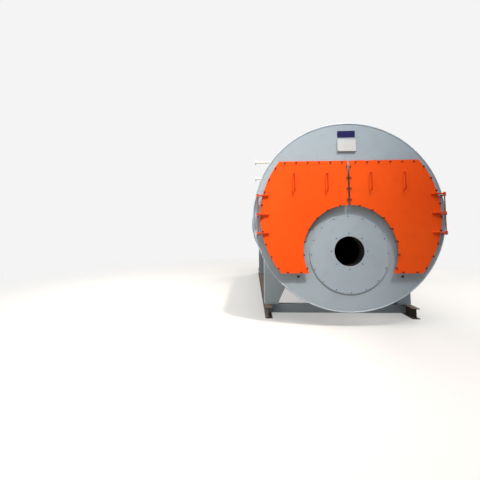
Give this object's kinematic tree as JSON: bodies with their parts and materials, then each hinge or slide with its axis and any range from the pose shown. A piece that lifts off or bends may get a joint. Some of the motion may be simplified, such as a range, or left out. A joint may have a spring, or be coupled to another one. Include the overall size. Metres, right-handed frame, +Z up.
{
  "type": "industrial boiler",
  "caption": "Horizontal fire-tube steam boiler on skid beams, with a round grey front, hinged orange smokebox doors arched over the burner opening, and flanged nozzles.",
  "frame": {"origin": "on the floor under the middle of the overall length and width", "axes": "+X to the right seen from the front, +Y to the back along the boiler, +Z up; the front with its doors faces -Y"},
  "size_m": [2.9, 5.8744, 3.3163],
  "materials": {
    "grey_enamel": "semi-gloss grey enamel",
    "orange_enamel": "gloss orange enamel",
    "stainless_sheet": "polished stainless sheet",
    "primer": "matt off-white primer",
    "refractory": "cast refractory",
    "rope_seal": "woven rope",
    "boiler_steel": "bare boiler steel",
    "mill_steel": "rusty rolled steel",
    "white_plate": "satin white",
    "blue_plate": "satin blue"
  },
  "bodies": {
    "boiler": {"front_plate": "grey_enamel", "end_rims": "grey_enamel", "left_smokebox_frame": "grey_enamel", "right_smokebox_frame": "grey_enamel", "door_seals": "rope_seal", "front_tube_sheet": "boiler_steel", "fire_tubes": "boiler_steel", "furnace_tube": "boiler_steel", "burner_plate": "grey_enamel", "throat_refractory": "refractory", "pressure_drum": "boiler_steel", "shell_cladding": "stainless_sheet", "cladding_bands": "stainless_sheet", "rear_tube_sheet": "boiler_steel", "rear_lining": "refractory", "rear_plate": "grey_enamel", "rear_cover": "grey_enamel", "flue_outlet": "grey_enamel", "steam_outlet": "primer", "safety_nozzles": "primer", "manhole_neck": "grey_enamel", "manhole_cover": "grey_enamel", "feedwater_nozzle": "primer", "gauge_nozzles": "primer", "lifting_lugs": "grey_enamel", "drain_nipples": "boiler_steel", "left_skid": "mill_steel", "right_skid": "mill_steel", "cross_beams": "grey_enamel", "front_left_leg": "grey_enamel", "front_right_leg": "grey_enamel", "rear_left_leg": "grey_enamel", "rear_right_leg": "grey_enamel", "data_plate": "white_plate", "blank_blue_plate": "blue_plate", "left_hinge_rod": "orange_enamel", "right_hinge_rod": "orange_enamel"},
    "left_smokebox_door": {"left_door": "orange_enamel", "left_door_lining": "refractory", "left_door_handles": "orange_enamel", "left_hinge_arms": "orange_enamel"},
    "right_smokebox_door": {"right_door": "orange_enamel", "right_door_lining": "refractory", "right_door_handles": "orange_enamel", "right_hinge_arms": "orange_enamel"}
  },
  "joints": [
    {"name": "left_door_hinge", "type": "hinge", "parent": "boiler", "child": "left_smokebox_door", "pos_m": [-1.378, -2.91275, 1.703], "axis": [0, 0, -1], "range_deg": [0, 135]},
    {"name": "right_door_hinge", "type": "hinge", "parent": "boiler", "child": "right_smokebox_door", "pos_m": [1.378, -2.91275, 1.703], "axis": [0, 0, 1], "range_deg": [0, 135]}
  ]
}
